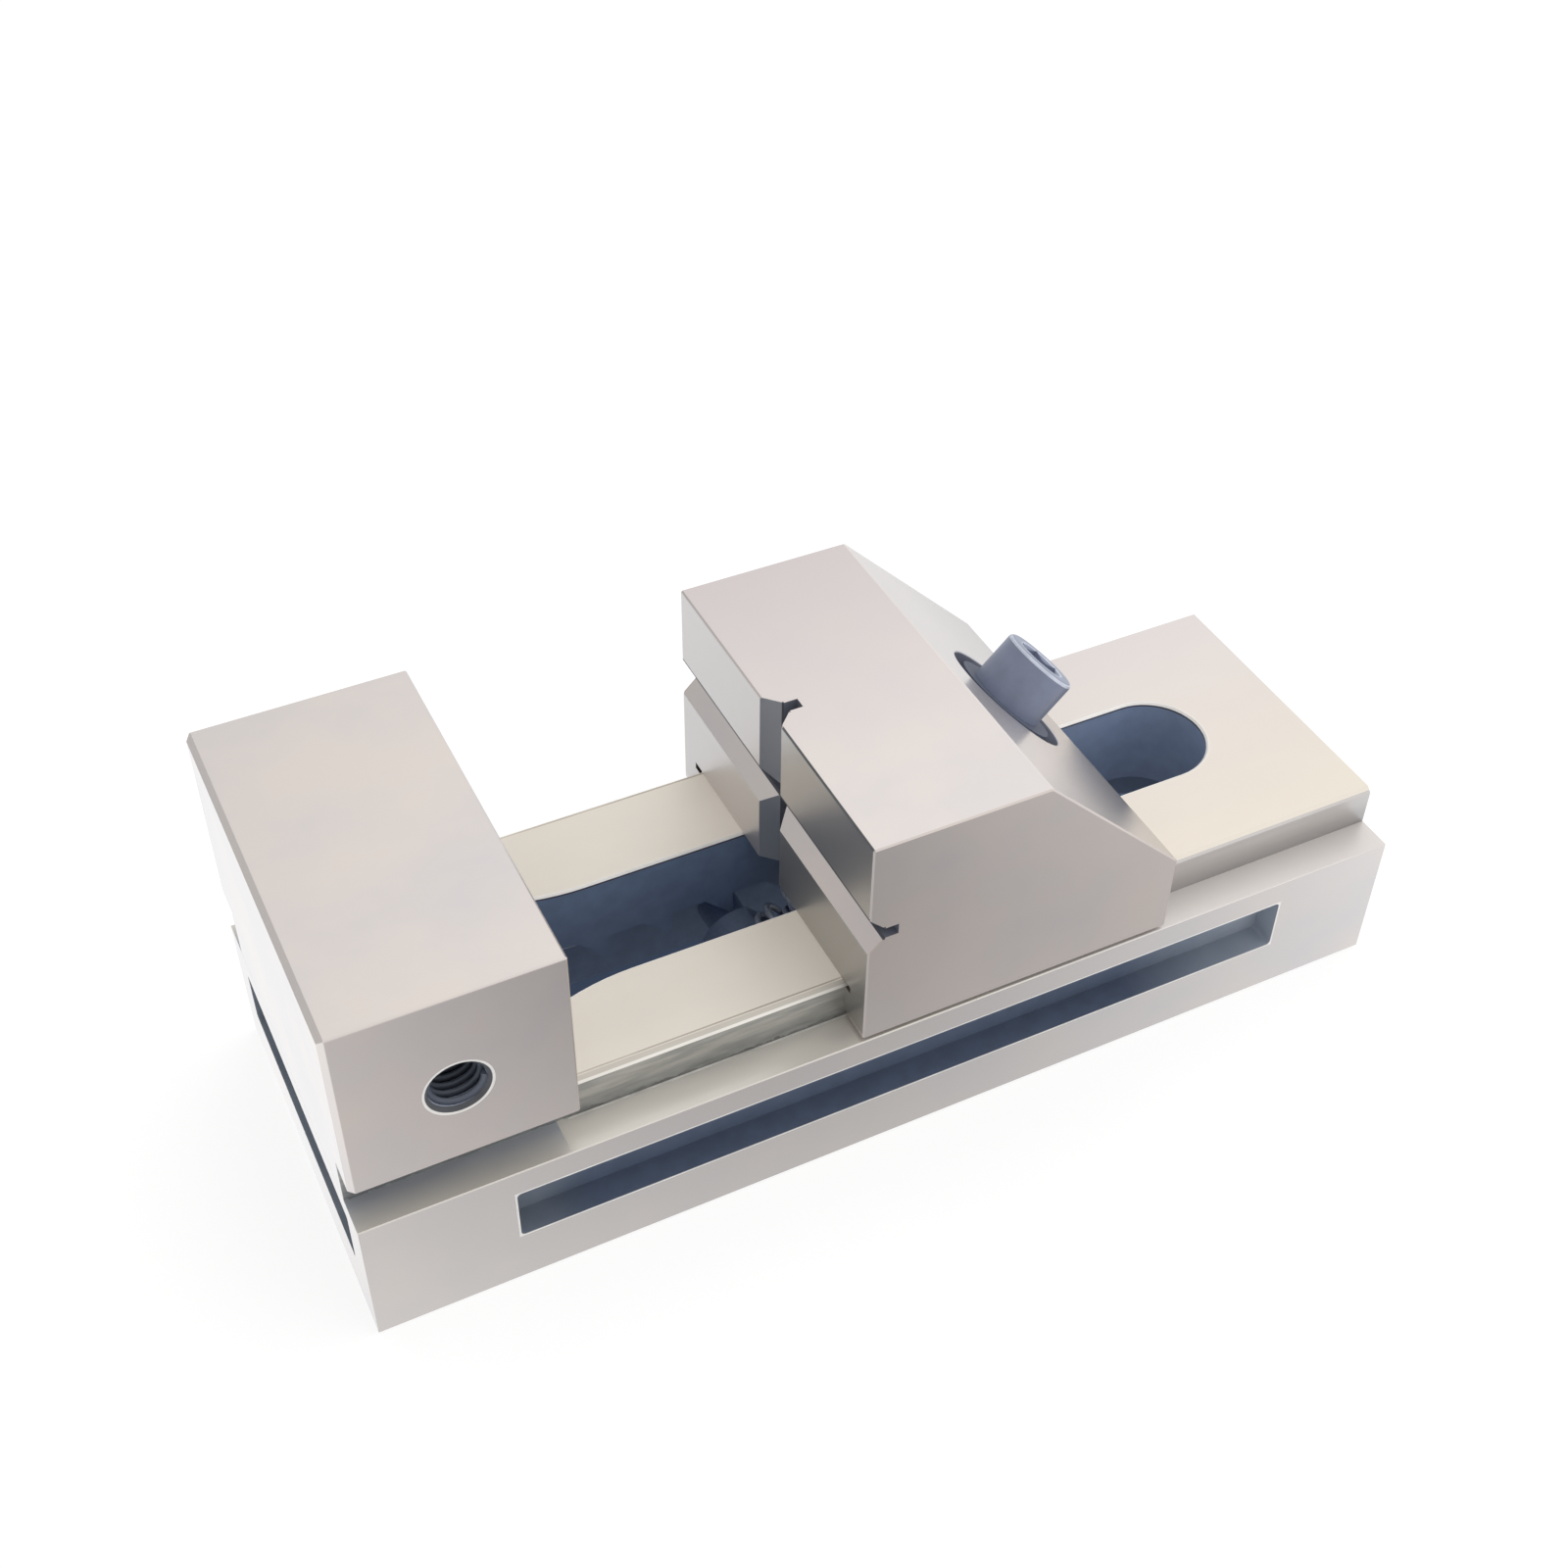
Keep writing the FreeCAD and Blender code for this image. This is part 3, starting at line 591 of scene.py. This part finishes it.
def cut_steel(name, colour, rough_low, rough_high, cells_per_metre, relief=0.15, metal=1.0,
              patches=()):
    # Turned or tapped steel with a fine grain.
    material, shader = new_material(name)
    tree = material.node_tree
    place, axes = place_on_piece(tree)
    grain = stretched_noise(tree, place, (cells_per_metre,) * 3, detail=3.0)
    darker = tuple(0.86 * part for part in colour)
    bright = mixed_colour(tree, spread(tree, grain, 0.3, 0.7, 0.0, 1.0), darker, colour)
    rough = spread(tree, grain, 0.3, 0.7, rough_low, rough_high)
    bright, rough, share = patched(tree, place, axes, patches, bright, rough, metal)
    tree.links.new(bright, shader.inputs["Base Color"])
    tree.links.new(rough, shader.inputs["Roughness"])
    if patches:
        tree.links.new(share, shader.inputs["Metallic"])
    else:
        shader.inputs["Metallic"].default_value = share
    bump(tree, shader, grain, relief, 0.00003)
    return material


tapped_steel = cut_steel("tapped_steel", (0.085, 0.100, 0.132), 0.45, 0.60, 1500.0, 0.1, 0.0)
for side, side_name in ((-1, "near"), (1, "far")):
    ridge = wind({"Radius": hole_radius - thread_depth / 2, "Pitch": thread_pitch,
                  "Turns": (hole_depth - 2 * hole_lead_in) / thread_pitch,
                  "Foot Width": thread_foot, "Crest Width": 0.12 * thread_pitch,
                  "Depth": thread_depth}, tapped_steel)
    mouth = Vector((hole_place_x, side * cad_high.y, hole_height))
    turn = Matrix.Rotation(math.radians(90 * side), 4, "X")
    sink = Matrix.Translation((0, 0, hole_lead_in))
    ridge.transform(Matrix.Translation(mouth) @ turn @ sink)
    piece("stop_hole_thread_" + side_name, outward(ridge), "base")


# Movable jaw.
# A block of the same hardened steel that straddles the bed. Its face has a V
# groove across and one upright, each with a thin relief slot, and its back
# slopes at 45 degrees, with the round recess for the draw screw's seat.
draw = next(j for j in frame["joints"] if j["name"] == "screw_turn")
draw_axis = Vector(draw["axis"]).normalized()
draw_point = Vector(draw["pos_m"])
draw_place = Matrix.Translation(draw_point) @ Vector((0, 0, 1)).rotation_difference(
    draw_axis).to_matrix().to_4x4()


def round_draw_line(low, high, inner, outer):
    # Marks what lies from low to high up the draw line and from inner to outer off it.
    def mark(tree, place, axes):
        shift = [math_node(tree, "SUBTRACT", axes[axis], draw_point[axis]) for axis in range(3)]
        up = None
        square = None
        for axis in range(3):
            part = math_node(tree, "MULTIPLY", shift[axis], draw_axis[axis])
            up = part if up is None else math_node(tree, "ADD", up, part)
            part = math_node(tree, "MULTIPLY", shift[axis], shift[axis])
            square = part if square is None else math_node(tree, "ADD", square, part)
        square = math_node(tree, "SUBTRACT", square, math_node(tree, "MULTIPLY", up, up))
        off = math_node(tree, "SQRT", math_node(tree, "MAXIMUM", square, 0.0))
        return math_node(tree, "MULTIPLY", between(tree, up, low * MM, high * MM),
                         between(tree, off, inner * MM, outer * MM))
    return mark


slope = in_boxes([((21.8, -36.3, 37.2), (50.2, 36.3, 73.9))])
slope_cells = (18.0, 22.0, 26.0)
jaw_slope = patch(slope, (0.690, 0.642, 0.615), (0.668, 0.625, 0.602), 0.27, 0.8, slope_cells)
# Painted shade: the slope darkens towards its foot.
slope_foot_shade = patch(faded(slope, 2, 44.0, 66.0),
                   (0.560, 0.522, 0.496), (0.540, 0.506, 0.484), 0.25, 0.85, slope_cells)
jaw_recess = patch(round_draw_line(-40.0, -0.06, 8.0, 12.6),
                   (0.42, 0.435, 0.50), (0.37, 0.385, 0.45), 0.45, 0.4)
jaw_face = patch(in_boxes([((-11.2, -36.4, 30.0), (-10.95, 36.4, 74.1))]),
                 (0.672, 0.640, 0.626), (0.645, 0.616, 0.602), 0.36, 0.75, (30.0, 30.0, 30.0))
# Painted shade: the near half of the jaw's face is darker, and darker still below the level groove.
jaw_face_near_shade = patch(in_boxes([((-11.2, -36.4, 30.0), (-10.95, -4.1, 74.1))]),
                      (0.495, 0.480, 0.462), (0.520, 0.505, 0.487), 0.33, 0.85, (30.0, 30.0, 30.0))
jaw_face_foot_shade = patch(in_boxes([((-11.2, -36.4, 30.0), (-10.95, -4.1, 50.0))]),
                      (0.425, 0.412, 0.390), (0.445, 0.432, 0.410), 0.33, 0.85, (30.0, 30.0, 30.0))
# Painted shade: the jaw's top darkens towards its far edge.
jaw_top_far_shade = patch(faded(in_boxes([((-11.0, -36.6, 73.9), (21.8, 36.6, 74.1))]), 1, 36.0, -20.0),
                    (0.600, 0.548, 0.545), (0.585, 0.538, 0.538), 0.24, 1.0, (30.0, 30.0, 30.0))
jaw_flank = in_boxes(both_sides((-11.1, 36.22, 28.0), (50.4, 36.6, 74.1)))
# Painted shade: the movable jaw's sides take the same darker copy of the steel.
jaw_sides = patch(jaw_flank, side_steel_shaded, side_steel_shaded_grain, 0.24, 1.0, (40.0, 40.0, 40.0))
# Painted shade: the jaw's sides darken towards its back.
jaw_sides_back_shade = patch(faded(jaw_flank, 0, 46.0, 12.0),
                       (0.570, 0.502, 0.463), (0.530, 0.484, 0.466), 0.24, 1.0, (40.0, 40.0, 40.0))


def upright_flank(tree, place, axes):
    # Marks the far flank of the upright groove, where x and y add up to its line.
    box = inside_box(tree, axes, (-10.98, 1.08, 28.0), (-7.9, 4.12, 74.1))
    both = math_node(tree, "ADD", axes[0], axes[1])
    return math_node(tree, "MULTIPLY", box, between(tree, both, -6.96 * MM, -6.84 * MM))


# Painted shade: the upright groove's far flank is darker and bluer than the face.
groove_flank_shade = patch(upright_flank,
                     (0.375, 0.400, 0.445), (0.345, 0.370, 0.420), 0.38, 0.9, (60.0, 60.0, 60.0))
# Painted shadow: thin dark lines under the upper panel's edge at the level groove and along the
# face's top edge on the near side.
groove_edge_shadows = patch(in_boxes([((-11.1, -36.6, 58.12), (-10.9, 36.6, 58.52)),
                              ((-11.1, -36.2, 73.62), (-10.72, -4.25, 73.98))]),
                    (0.150, 0.155, 0.165), (0.095, 0.100, 0.110), 0.45, 0.4, (80.0, 80.0, 80.0))
# Painted shade: the grooves' roots and the relief slots are painted dark.
groove_roots_shade = patch(in_boxes([((-8.38, -36.6, 52.6), (-7.95, 36.6, 55.6)),
                               ((-8.25, -1.45, 28.0), (-7.95, 1.45, 74.1))]),
                     (0.070, 0.076, 0.095), (0.050, 0.055, 0.072), 0.50, 0.3)
relief_slots_shade = patch(in_boxes([((-7.98, -36.42, 52.9), (-5.3, 36.42, 55.3)),
                               ((-7.98, -1.13, 28.0), (-5.3, 1.13, 73.92))]),
                     (0.150, 0.160, 0.200), (0.120, 0.130, 0.165), 0.50, 0.0)
jaw_steel = ground_steel("jaw_steel", [
    jaw_slope, slope_foot_shade, jaw_recess, jaw_face, jaw_top_far_shade, jaw_sides, jaw_sides_back_shade,
    jaw_face_near_shade, jaw_face_foot_shade, groove_flank_shade, groove_edge_shadows, groove_roots_shade, relief_slots_shade])
jaw = frame["nodes"]["movable_jaw"]
jaw.data.materials.clear()
jaw.data.materials.append(jaw_steel)


# Ball washer and seat ring.
# The hardened dished ring in the recess, and the spherical washer that turns
# in it under the screw's head. Both are turned, hardened and dark in their hole.
seat_steel = cut_steel("seat_steel", (0.115, 0.132, 0.180), 0.50, 0.62, 2400.0, 0.05, 0.0)
seat_steel.node_tree.nodes["Principled BSDF"].inputs["Specular IOR Level"].default_value = 0.1
for node_name in ("seat_ring", "ball_washer", "spring_washer"):
    node = frame["nodes"][node_name]
    node.data.materials.clear()
    node.data.materials.append(seat_steel)


# Draw screw.
# A 3/8 inch socket head cap screw, black oxide, square to the jaw's slope. Its
# head is smooth, with a 5/16 inch hexagon socket, and its lower end is threaded.
# Light rings on the head's rim and the socket's edge stand for black worn off there and for painted
# edge highlights.
head_rim_wear_and_highlight = patch(round_draw_line(8.66, 9.4, 6.75, 7.3), (0.62, 0.65, 0.74), (0.46, 0.50, 0.60),
                   0.38, 0.4)
socket_edge_wear_and_highlight = patch(round_draw_line(9.1, 9.4, 4.3, 4.75), (0.62, 0.65, 0.74), (0.46, 0.50, 0.60),
                    0.38, 0.4)
black_oxide = cut_steel("black_oxide", (0.240, 0.272, 0.380), 0.32, 0.42, 300.0, 0.02, 0.25,
                        [head_rim_wear_and_highlight, socket_edge_wear_and_highlight])

head_top = 9.3 * MM
head_height = 9.5 * MM
head_radius = 7.15 * MM
head_chamfer = 0.6 * MM
shank_radius = 4.76 * MM
socket_half = 3.97 * MM
socket_depth = 4.8 * MM
screw_root = 3.86 * MM
thread_start = 46.0 * MM
thread_runout = 0.9 * MM
ring_place = 75.505 * MM
ring_groove_width = 1.1 * MM
screw_tip = 77.955 * MM
tip_chamfer = 1.0 * MM


def hexagon_radius(angle):
    # How far the socket's wall lies from the axis at this angle.
    sixth = math.pi / 3
    from_flat = (angle % sixth) - sixth / 2
    return socket_half / math.cos(from_flat)


def turned_mesh(name, rows, steps):
    # A closed mesh round Z. Each row gives, for an angle, a radius and a height.
    mesh = bpy.data.meshes.new(name)
    shape = bmesh.new()
    rings = []
    for row in rows:
        ring = []
        for step in range(steps):
            angle = 2 * math.pi * step / steps
            radius, height = row(angle)
            x, y = radius * math.cos(angle), radius * math.sin(angle)
            ring.append(shape.verts.new((x, y, height)))
        rings.append(ring)
    for upper, lower in zip(rings, rings[1:]):
        for step in range(steps):
            after = (step + 1) % steps
            shape.faces.new((upper[step], lower[step], lower[after], upper[after]))
    for ring in (rings[0], rings[-1]):
        middle = sum((vert.co for vert in ring), Vector()) / steps
        pole = shape.verts.new(middle)
        for step in range(steps):
            shape.faces.new((ring[step], ring[(step + 1) % steps], pole))
    bmesh.ops.recalc_face_normals(shape, faces=shape.faces)
    shape.to_mesh(mesh)
    shape.free()
    return mesh


def round_row(radius, height):
    return lambda angle: (radius, height)


def joined(name, parts):
    # One mesh of several that share a material.
    shape = bmesh.new()
    for part in parts:
        shape.from_mesh(part)
    mesh = bpy.data.meshes.new(name)
    shape.to_mesh(mesh)
    shape.free()
    mesh.materials.append(parts[0].materials[0])
    return mesh


corner = socket_half / math.cos(math.pi / 6)
seat = head_top - head_height
screw_rows = [
    lambda angle: (hexagon_radius(angle) * 0.55, head_top - socket_depth - 0.6 * MM),
    lambda angle: (hexagon_radius(angle), head_top - socket_depth),
    lambda angle: (hexagon_radius(angle), head_top - (corner - hexagon_radius(angle))),
    round_row(corner, head_top),
    round_row(head_radius - head_chamfer, head_top),
    round_row(head_radius - 0.25 * head_chamfer, head_top - 0.4 * head_chamfer),
    round_row(head_radius, head_top - head_chamfer),
    round_row(head_radius, seat),
    round_row(shank_radius, seat),
    round_row(shank_radius, -thread_start),
    round_row(screw_root, -thread_start - thread_runout),
    round_row(screw_root, -ring_place - ring_groove_width),
    round_row(shank_radius, -ring_place - ring_groove_width),
    round_row(shank_radius, tip_chamfer - screw_tip),
    round_row(shank_radius - tip_chamfer, -screw_tip),
]
screw_mesh = turned_mesh("draw_screw_threaded", screw_rows, circle_steps)
thread_length = ring_place - thread_start - thread_runout
screw_thread = wind({"Radius": (shank_radius + screw_root) / 2, "Pitch": thread_pitch,
                     "Turns": thread_length / thread_pitch - 1.0,
                     "Foot Width": thread_foot, "Crest Width": 0.14 * thread_pitch,
                     "Depth": screw_root - shank_radius}, black_oxide)
screw_thread.transform(Matrix.Translation((0, 0, thread_pitch / 2 - ring_place)))
screw_mesh.materials.append(black_oxide)
screw_mesh = joined("draw_screw_threaded", [screw_mesh, outward(screw_thread)])
screw_mesh.transform(draw_place)
screw = piece("draw_screw_threaded", screw_mesh, "screw")
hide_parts("draw_screw")


# Cross nut, retaining ring and release spring.
# The nut is a turned bar with a trunnion each side, which catches the notches
# under the rails. The snap ring keeps it on the screw, and the coil spring
# pushes it down out of the notches as the screw is slackened. The spring starts a
# little below its washer, which leaves room for the screw's swing.
nut_steel = cut_steel("nut_steel", (0.21, 0.26, 0.37), 0.30, 0.44, 1800.0, 0.1, 0.3)
ring_steel = cut_steel("ring_steel", (0.34, 0.38, 0.46), 0.28, 0.42, 1500.0, 0.1, 0.3)
spring_steel = cut_steel("spring_steel", (0.42, 0.46, 0.54), 0.24, 0.38, 2600.0, 0.05, 0.4)
for node_name, finish in (("cross_nut", nut_steel), ("retaining_ring", ring_steel),
                          ("release_spring", spring_steel)):
    node = frame["nodes"][node_name]
    node.data.materials.clear()
    node.data.materials.append(finish)

spring_radius = 6.9 * MM
wire_radius = 0.6 * MM
spring_turns = 9.0
close_turns = 1.0
close_pitch = 1.3 * MM
spring_top = 25.36 * MM
spring_foot = 62.455 * MM
spring_length = spring_foot - spring_top
centre_rise = spring_length - 2 * wire_radius
open_pitch = (centre_rise - 2 * close_turns * close_pitch) / (spring_turns - 2 * close_turns)
spring_mesh = wind({"Radius": spring_radius, "Pitch": open_pitch, "Turns": spring_turns,
                    "Close Turns": close_turns, "Close Pitch": close_pitch,
                    "Wire Radius": wire_radius}, spring_steel)
spring_mesh.transform(draw_place @ Matrix.Translation((0, 0, wire_radius - spring_foot)))
spring = piece("release_spring_wound", outward(spring_mesh), "swivel")
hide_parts("release_spring")
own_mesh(spring)


# Floor and light.
# A white sheet under a bright, even sky that is a little brighter to the right.
# The camera sees the sheet itself. What the steel mirrors is the sheet as it was
# lit round the vise, duller in front of it and brightest beyond its ends.
floor_radius = 6.0
glow_centre_x = -5.0 * MM
glow_centre_y = -110.0 * MM


def disc(name, radius, height, material):
    mesh = bpy.data.meshes.new(name)
    shape = bmesh.new()
    bmesh.ops.create_circle(shape, cap_ends=True, radius=radius, segments=circle_steps,
                            matrix=Matrix.Translation((0, 0, height)))
    shape.to_mesh(mesh)
    shape.free()
    mesh.materials.append(material)
    made = bpy.data.objects.new(name, mesh)
    bpy.context.scene.collection.objects.link(made)
    return made


def away_from_vise(tree, axes, under):
    # 1 beside the vise, and under below it, where little light gets in.
    covered = inside_box(tree, axes, (-99.0, -35.5, None), (99.0, 35.5, None))
    return spread(tree, covered, 0.0, 1.0, 1.0, under)


seen_white, seen_shader = new_material("floor_white")
seen_shader.inputs["Roughness"].default_value = 0.9
seen_shader.inputs["Specular IOR Level"].default_value = 0.0
seen_shader.inputs["Emission Strength"].default_value = 1.0
tree = seen_white.node_tree
floor_place, floor_axes = place_on_piece(tree)
# Under the vise the sheet is painted as shade: dark bluish, with a faint bluish glow that is
# lighter under the tail end.
open_floor = away_from_vise(tree, floor_axes, 0.0)
tree.links.new(mixed_colour(tree, open_floor, (0.05, 0.07, 0.11), (0.36, 0.36, 0.36)),
               seen_shader.inputs["Base Color"])
under_tail = spread(tree, floor_axes[0], 20 * MM, 60 * MM, 0.0, 1.0)
under_vise_shade_glow = mixed_colour(tree, under_tail, (0.034, 0.047, 0.076), (0.070, 0.092, 0.140))
tree.links.new(mixed_colour(tree, open_floor, under_vise_shade_glow, (0.72, 0.72, 0.72)),
               seen_shader.inputs["Emission Color"])
seen_floor = disc("floor", floor_radius, 0.0, seen_white)
seen_floor.visible_diffuse = False
seen_floor.visible_glossy = False
seen_floor.visible_transmission = False
seen_floor.visible_shadow = False

mirrored_white, mirrored_shader = new_material("floor_mirrored")
tree = mirrored_white.node_tree
floor_place, floor_axes = place_on_piece(tree)
across = math_node(tree, "SUBTRACT", floor_axes[0], glow_centre_x)
ahead_of = math_node(tree, "SUBTRACT", floor_axes[1], glow_centre_y)
off_middle = math_node(tree, "SQRT", math_node(
    tree, "ADD", math_node(tree, "MULTIPLY", across, across),
    math_node(tree, "MULTIPLY", ahead_of, ahead_of)))
glow = spread(tree, off_middle, 15 * MM, 150 * MM, 0.42, 1.16)
behind = math_node(tree, "MULTIPLY", spread(tree, floor_axes[0], -100 * MM, -60 * MM, 0.0, 1.0),
                   spread(tree, floor_axes[1], 20 * MM, 80 * MM, 0.0, 0.17))
glow = math_node(tree, "MULTIPLY", glow, math_node(tree, "SUBTRACT", 1.0, behind))
glow = math_node(tree, "MULTIPLY", glow, away_from_vise(tree, floor_axes, 0.22))
mirrored_shader.inputs["Base Color"].default_value = (0.0, 0.0, 0.0, 1.0)
mirrored_shader.inputs["Specular IOR Level"].default_value = 0.0
mirrored_shader.inputs["Emission Color"].default_value = (0.98, 1.0, 1.02, 1.0)
tree.links.new(glow, mirrored_shader.inputs["Emission Strength"])
mirrored_floor = disc("floor_light", floor_radius, -0.2 * MM, mirrored_white)
mirrored_floor.visible_camera = False
mirrored_floor.visible_shadow = False

world = bpy.data.worlds.new("studio")
bpy.context.scene.world = world
world.use_nodes = True
sky = world.node_tree
background = sky.nodes["Background"]
direction = sky.nodes.new("ShaderNodeTexCoord")
split = sky.nodes.new("ShaderNodeSeparateXYZ")
sky.links.new(direction.outputs["Generated"], split.inputs[0])
level = math_node(sky, "MULTIPLY", spread(sky, split.outputs["X"], -0.4, 0.55, 0.72, 1.32),
                  spread(sky, split.outputs["Z"], 0.55, 0.78, 0.90, 1.06))
sky.links.new(level, background.inputs["Strength"])
background.inputs["Color"].default_value = (1.0, 0.995, 0.99, 1.0)

bpy.context.scene.view_settings.view_transform = "Standard"
